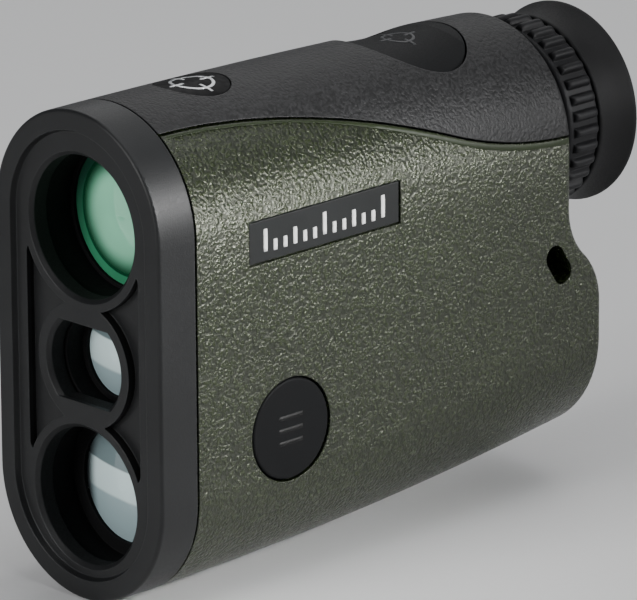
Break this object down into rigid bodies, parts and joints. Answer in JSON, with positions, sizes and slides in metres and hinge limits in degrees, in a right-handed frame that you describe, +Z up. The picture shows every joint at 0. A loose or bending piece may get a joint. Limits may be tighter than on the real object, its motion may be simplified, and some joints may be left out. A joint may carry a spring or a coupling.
{
  "type": "laser rangefinder",
  "caption": "Handheld laser rangefinder with a tall rounded body, stacked front windows, a dished top button, a side button and a ribbed eyepiece.",
  "frame": {"origin": "middle of the bounding box at its lowest level, which is the lowest point of the front bezel", "axes": "+Z up as held in use, the windows face -Y, the eyepiece faces +Y, the menu button is on the +X side"},
  "size_m": [0.034, 0.0996, 0.0726],
  "materials": {
    "side_green": "pebbled dark olive soft-touch armour on a moulded shell",
    "top_grey": "fine-grained charcoal moulding",
    "bezel_grey": "satin black-grey moulding",
    "black_rubber": "smooth matte rubber",
    "ring_black": "satin black moulding",
    "button_grey": "smooth satin charcoal",
    "badge_black": "polished black with a pale printed mark",
    "plate_grey": "dark grey enamel with a black edge",
    "barrel_black": "matte black anodised",
    "frame_black": "glass-filled black moulding",
    "coated_green": "green multi-coated glass",
    "coated_blue": "pale blue coated glass",
    "clear_glass": "polished optical glass",
    "display_glass": "transparent liquid-crystal panel",
    "board_green": "green solder mask",
    "chip_black": "black epoxy",
    "cable_amber": "amber polyimide",
    "screw_steel": "black zinc plated steel",
    "spring_steel": "bright nickel-plated spring steel",
    "contact_brass": "gold-plated brass",
    "battery_wrap": "printed sleeve on a steel can"
  },
  "bodies": {
    "housing": {"front_bezel": "bezel_grey", "front_seal": "black_rubber", "left_cover": "side_green", "right_cover": "side_green", "top_cover": "top_grey", "name_plate": "plate_grey", "top_badge": "badge_black", "measure_board": "board_green", "measure_switch": "chip_black", "menu_board": "board_green", "menu_switch": "chip_black", "cover_screws": "screw_steel", "objective_barrel": "barrel_black", "objective_lens": "coated_green", "objective_rear_element": "clear_glass", "objective_retainer": "barrel_black", "emitter_barrel": "barrel_black", "emitter_lens": "coated_blue", "emitter_retainer": "barrel_black", "laser_diode": "contact_brass", "receiver_barrel": "barrel_black", "receiver_lens": "coated_blue", "receiver_retainer": "barrel_black", "photodiode": "contact_brass", "optical_frame": "frame_black", "prism_housing": "frame_black", "half_penta_prism": "clear_glass", "roof_prism": "clear_glass", "display_panel": "display_glass", "display_frame": "frame_black", "display_cable": "cable_amber", "eyepiece_sleeve": "ring_black", "battery": "battery_wrap", "battery_tube": "frame_black", "battery_spring": "spring_steel", "main_board": "board_green", "board_chips": "chip_black"},
    "measure_key": {"measure_button": "button_grey"},
    "menu_key": {"menu_button": "button_grey"},
    "diopter": {"diopter_ring": "ring_black", "eyecup": "black_rubber"},
    "ocular": {"ocular_cell": "barrel_black", "field_lens": "clear_glass", "ocular_spacer": "barrel_black", "eye_lens": "coated_green", "ocular_retainer": "barrel_black"},
    "cap": {"battery_cap": "ring_black", "cap_contact": "contact_brass", "cap_oring": "black_rubber"}
  },
  "joints": [
    {"name": "measure_press", "type": "slide", "parent": "housing", "child": "measure_key", "axis": [0, 0, -1], "range_m": [0, 0.0008], "stiffness_N_per_m": 1500, "springref_m": -0.0004},
    {"name": "menu_press", "type": "slide", "parent": "housing", "child": "menu_key", "axis": [-1, 0, 0], "range_m": [0, 0.0006], "stiffness_N_per_m": 1500, "springref_m": -0.0004},
    {"name": "diopter_turn", "type": "hinge", "parent": "housing", "child": "diopter", "pos_m": [0, 0.03935, 0.0541], "axis": [0, 1, 0], "range_deg": [-60, 60]},
    {"name": "ocular_travel", "type": "slide", "parent": "housing", "child": "ocular", "axis": [0, 1, 0], "range_m": [-0.001, 0.001]},
    {"name": "battery_cap_turn", "type": "hinge", "parent": "housing", "child": "cap", "pos_m": [0, 0.03885, 0.0215], "axis": [0, 1, 0], "range_deg": [0, 90]}
  ],
  "couplings": [
    {"joint": "ocular_travel", "follows": "diopter_turn", "m_per_rad": 0.00095}
  ]
}
